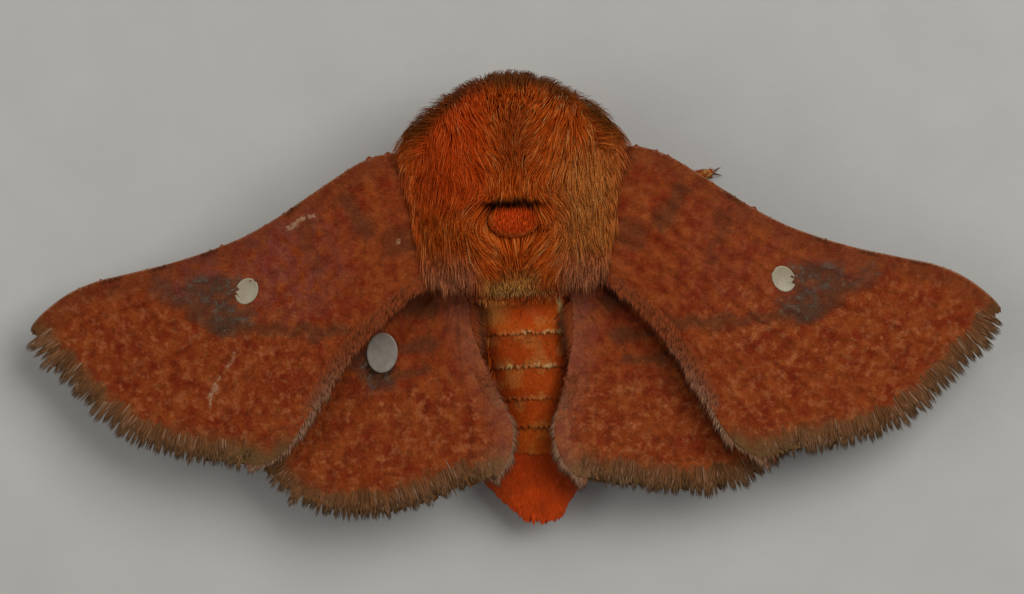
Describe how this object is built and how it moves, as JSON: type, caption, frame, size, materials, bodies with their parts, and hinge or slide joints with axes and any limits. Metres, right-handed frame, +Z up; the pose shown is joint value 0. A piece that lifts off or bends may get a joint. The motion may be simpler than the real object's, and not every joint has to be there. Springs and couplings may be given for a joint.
{
  "type": "window-winged moth (Dysodia binoculata), still life-size model",
  "caption": "Life-size still moth standing on six feet with its wings spread, orange-brown coat, small clear windows in the wings.",
  "frame": {"origin": "on the floor, under the middle of the moth's bounding box", "axes": "+X towards the moth's right wingtip, +Y towards its head, +Z up"},
  "size_m": [0.028, 0.0129, 0.0064],
  "materials": {
    "coat": "long matte hair-scales, orange-brown",
    "head_scales": "short matte scales, dark olive-brown",
    "eye": "glossy dark compound eye",
    "antenna": "matte brown, finely scaled",
    "wing_scales": "matte red-brown scales over a thin membrane",
    "abdomen_scales": "matte overlapping scales, orange-brown",
    "tail_scales": "long matte scales, dark red-brown",
    "leg_scales": "matte scales, brown with pale bands"
  },
  "bodies": {
    "root": {"thorax": "coat", "head": "head_scales", "eye_left": "eye", "eye_right": "eye", "palp_left": "head_scales", "palp_right": "head_scales", "antenna_left": "antenna", "antenna_right": "antenna", "forewing_left": "wing_scales", "forewing_right": "wing_scales", "hindwing_left": "wing_scales", "hindwing_right": "wing_scales", "abdomen": "abdomen_scales", "tail_tuft": "tail_scales", "leg_front_left": "leg_scales", "leg_front_right": "leg_scales", "leg_middle_left": "leg_scales", "leg_middle_right": "leg_scales", "leg_hind_left": "leg_scales", "leg_hind_right": "leg_scales"}
  },
  "joints": []
}
